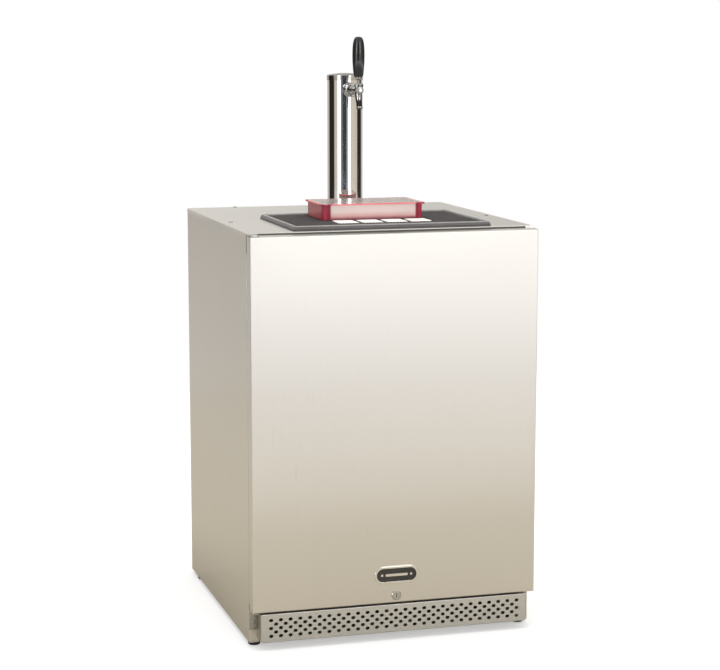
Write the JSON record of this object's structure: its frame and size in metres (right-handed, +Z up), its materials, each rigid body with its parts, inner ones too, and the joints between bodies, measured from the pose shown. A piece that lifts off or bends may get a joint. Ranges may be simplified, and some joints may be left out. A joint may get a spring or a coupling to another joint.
{
  "type": "kegerator",
  "caption": "Stainless keg refrigerator with a hinged insulated door, a toe grille, and a chrome draft tower with one tap over a lift-off drip tray and rubber mat.",
  "frame": {"origin": "on the floor under the middle of the bounding box", "axes": "+Z up, -Y towards the person who pours, +X to that person's right"},
  "size_m": [0.603, 0.633, 1.2285],
  "materials": {
    "brushed_steel": "brushed stainless steel",
    "mirror_steel": "mirror polished",
    "black_rubber": "matt nubbed rubber",
    "black_handle": "gloss black",
    "red_tray": "translucent red",
    "badge": "bright rim, dark field",
    "lock_steel": "polished",
    "foam": "rigid foam",
    "white_liner": "white moulded",
    "gasket": "soft grey",
    "galvanised": "galvanised",
    "black_steel": "black enamel",
    "copper": "copper tube",
    "alloy": "mill finish",
    "black_plastic": "matt black",
    "white_plastic": "matt white",
    "brass_fittings": "brass",
    "nylon": "nylon"
  },
  "bodies": {
    "cabinet": {"side_panel_left": "brushed_steel", "side_panel_right": "brushed_steel", "top_panel": "brushed_steel", "back_panel": "galvanised", "base_pan": "galvanised", "cabinet_foam": "foam", "inner_liner": "white_liner", "front_frame": "brushed_steel", "keg_floor_plate": "brushed_steel", "toe_grille": "brushed_steel", "hinge_bracket_top": "mirror_steel", "hinge_bracket_bottom": "mirror_steel", "cabinet_screws": "mirror_steel", "machine_cover": "galvanised", "mains_inlet": "black_plastic", "compressor": "black_steel", "condenser_coil": "copper", "condenser_fan_motor": "black_steel", "evaporator_cover": "white_plastic", "evaporator_coil": "alloy", "evaporator_fan_motor": "black_plastic", "control_box": "white_plastic", "co2_cylinder": "alloy", "co2_bracket": "black_steel", "regulator": "brass_fittings", "coupler_hook": "black_plastic", "keg_coupler": "mirror_steel", "tower_flange": "mirror_steel", "tower_tube": "mirror_steel", "tower_cap": "mirror_steel", "tower_insulation": "foam", "tap_shank": "mirror_steel", "shank_nut": "mirror_steel", "coupling_nut": "mirror_steel", "faucet_body": "mirror_steel", "faucet_bonnet": "mirror_steel"},
    "door": {"door_skin": "brushed_steel", "door_foam": "foam", "door_liner": "white_liner", "door_gasket": "gasket", "door_bushes": "nylon", "door_badge": "badge", "lock_barrel": "lock_steel"},
    "lock": {"lock_plug": "lock_steel"},
    "tap_lever": {"faucet_lever": "mirror_steel", "tap_handle": "black_handle"},
    "tap_shaft": {"faucet_shaft": "mirror_steel"},
    "condenser_fan": {"condenser_fan_blade": "alloy"},
    "evaporator_fan": {"evaporator_fan_blade": "black_plastic"},
    "thermostat": {"thermostat_knob": "black_plastic"},
    "gas_valve": {"cylinder_valve_knob": "black_plastic"},
    "gas_screw": {"regulator_screw": "mirror_steel"},
    "coupler_lever": {"coupler_handle": "black_handle"},
    "mat": {"bar_mat": "black_rubber"},
    "tray": {"drip_tray": "red_tray"},
    "tray_plate": {"drip_plate": "brushed_steel"},
    "foot_fl": {"foot_front_left": "black_plastic"},
    "foot_fr": {"foot_front_right": "black_plastic"},
    "foot_rl": {"foot_rear_left": "black_plastic"},
    "foot_rr": {"foot_rear_right": "black_plastic"}
  },
  "joints": [
    {"name": "door_hinge", "type": "hinge", "parent": "cabinet", "child": "door", "pos_m": [-0.2915, -0.299, 0.46], "axis": [0, 0, -1], "range_deg": [0, 110]},
    {"name": "lock_turn", "type": "hinge", "parent": "door", "child": "lock", "pos_m": [0, -0.292, 0.0955], "axis": [0, 1, 0], "range_deg": [0, 90]},
    {"name": "tap_lever", "type": "hinge", "parent": "cabinet", "child": "tap_lever", "pos_m": [0, -0.0345, 1.1255], "axis": [1, 0, 0], "range_deg": [0, 30]},
    {"name": "tap_shaft", "type": "slide", "parent": "cabinet", "child": "tap_shaft", "axis": [0, 1, 0], "range_m": [0, 0.00452]},
    {"name": "condenser_fan_spin", "type": "hinge", "parent": "cabinet", "child": "condenser_fan", "pos_m": [0.025, 0.246, 0.096], "axis": [1, 0, 0], "continuous": true},
    {"name": "evaporator_fan_spin", "type": "hinge", "parent": "cabinet", "child": "evaporator_fan", "pos_m": [0.065, 0.23, 0.66], "axis": [0, 1, 0], "continuous": true},
    {"name": "thermostat_turn", "type": "hinge", "parent": "cabinet", "child": "thermostat", "pos_m": [0.19, -0.25, 0.775], "axis": [0, -1, 0], "range_deg": [0, 270]},
    {"name": "gas_valve_turn", "type": "hinge", "parent": "cabinet", "child": "gas_valve", "pos_m": [-0.192, 0.205, 0.638], "axis": [0, 0, 1], "range_deg": [0, 540]},
    {"name": "gas_screw_turn", "type": "hinge", "parent": "cabinet", "child": "gas_screw", "pos_m": [-0.192, 0.1188, 0.616], "axis": [0, 1, 0], "range_deg": [0, 360]},
    {"name": "coupler_lever", "type": "hinge", "parent": "cabinet", "child": "coupler_lever", "pos_m": [-0.23, 0, 0.642], "axis": [1, 0, 0], "range_deg": [0, 35]},
    {"name": "mat_lift", "type": "slide", "parent": "cabinet", "child": "mat", "axis": [0, 0, 1], "range_m": [0, 0.05]},
    {"name": "tray_lift", "type": "slide", "parent": "mat", "child": "tray", "axis": [0, 0, 1], "range_m": [0, 0.06]},
    {"name": "plate_lift", "type": "slide", "parent": "tray", "child": "tray_plate", "axis": [0, 0, 1], "range_m": [0, 0.03]},
    {"name": "foot_fl_level", "type": "slide", "parent": "cabinet", "child": "foot_fl", "axis": [0, 0, -1], "range_m": [0, 0.012]},
    {"name": "foot_fr_level", "type": "slide", "parent": "cabinet", "child": "foot_fr", "axis": [0, 0, -1], "range_m": [0, 0.012]},
    {"name": "foot_rl_level", "type": "slide", "parent": "cabinet", "child": "foot_rl", "axis": [0, 0, -1], "range_m": [0, 0.012]},
    {"name": "foot_rr_level", "type": "slide", "parent": "cabinet", "child": "foot_rr", "axis": [0, 0, -1], "range_m": [0, 0.012]}
  ],
  "couplings": [
    {"joint": "tap_shaft", "follows": "tap_lever", "m_per_rad": 0.0086}
  ]
}
